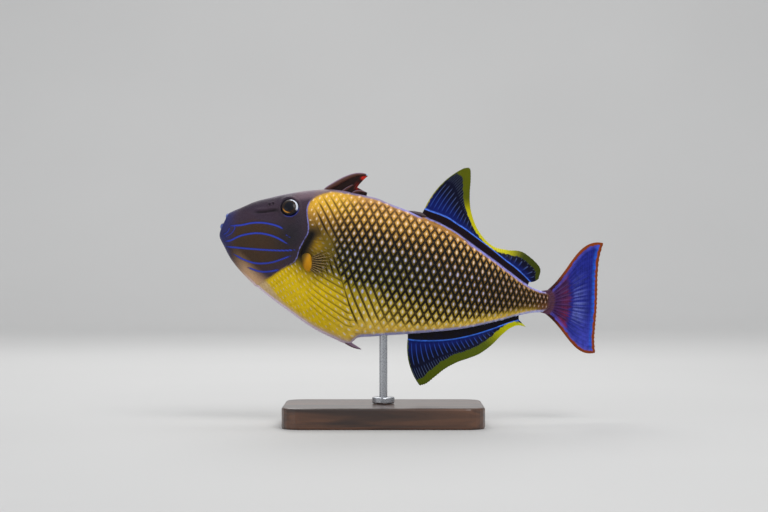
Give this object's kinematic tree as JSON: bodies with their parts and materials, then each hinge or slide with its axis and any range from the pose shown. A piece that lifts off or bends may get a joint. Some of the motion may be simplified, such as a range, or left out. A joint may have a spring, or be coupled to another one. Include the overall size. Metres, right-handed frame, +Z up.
{
  "type": "crosshatch triggerfish",
  "caption": "Male crosshatch triggerfish swimming, a still model on a plain stand: yellow netted scales, blue-lined cheeks, blue fins edged yellow, violet tail edged rust.",
  "frame": {"origin": "centre of the stand base's underside, on the floor", "axes": "+Z up, +X from the fish's snout towards its tail, +Y towards the fish's right side"},
  "size_m": [0.2423, 0.078, 0.1603],
  "materials": {
    "head_skin": "smooth wet skin, grey violet above, blue lines on the cheek",
    "flank_scales": "plate scales, yellow with a dark lattice between them",
    "fin_blue": "dark blue fin with a yellow margin",
    "tail_blue": "violet blue fin with rust orange margins",
    "spine_brown": "rough brown spine and web",
    "pectoral_yellow": "fleshy yellow fin base",
    "fin_clear": "clear fin web with pale rays",
    "eye_dark": "wet dark eye",
    "base_wood": "dark stained wood, satin",
    "rod_steel": "brushed steel"
  },
  "bodies": {
    "root": {"head": "head_skin", "trunk": "flank_scales", "tail_stalk": "flank_scales", "eye_left": "eye_dark", "eye_right": "eye_dark", "first_dorsal_spine": "spine_brown", "first_dorsal_web": "spine_brown", "second_dorsal_fin": "fin_blue", "anal_fin": "fin_blue", "caudal_fin": "tail_blue", "pectoral_base_left": "pectoral_yellow", "pectoral_base_right": "pectoral_yellow", "pectoral_fin_left": "fin_clear", "pectoral_fin_right": "fin_clear", "pelvic_spine": "spine_brown", "stand_base": "base_wood", "stand_rod": "rod_steel", "stand_collar": "rod_steel"}
  },
  "joints": []
}
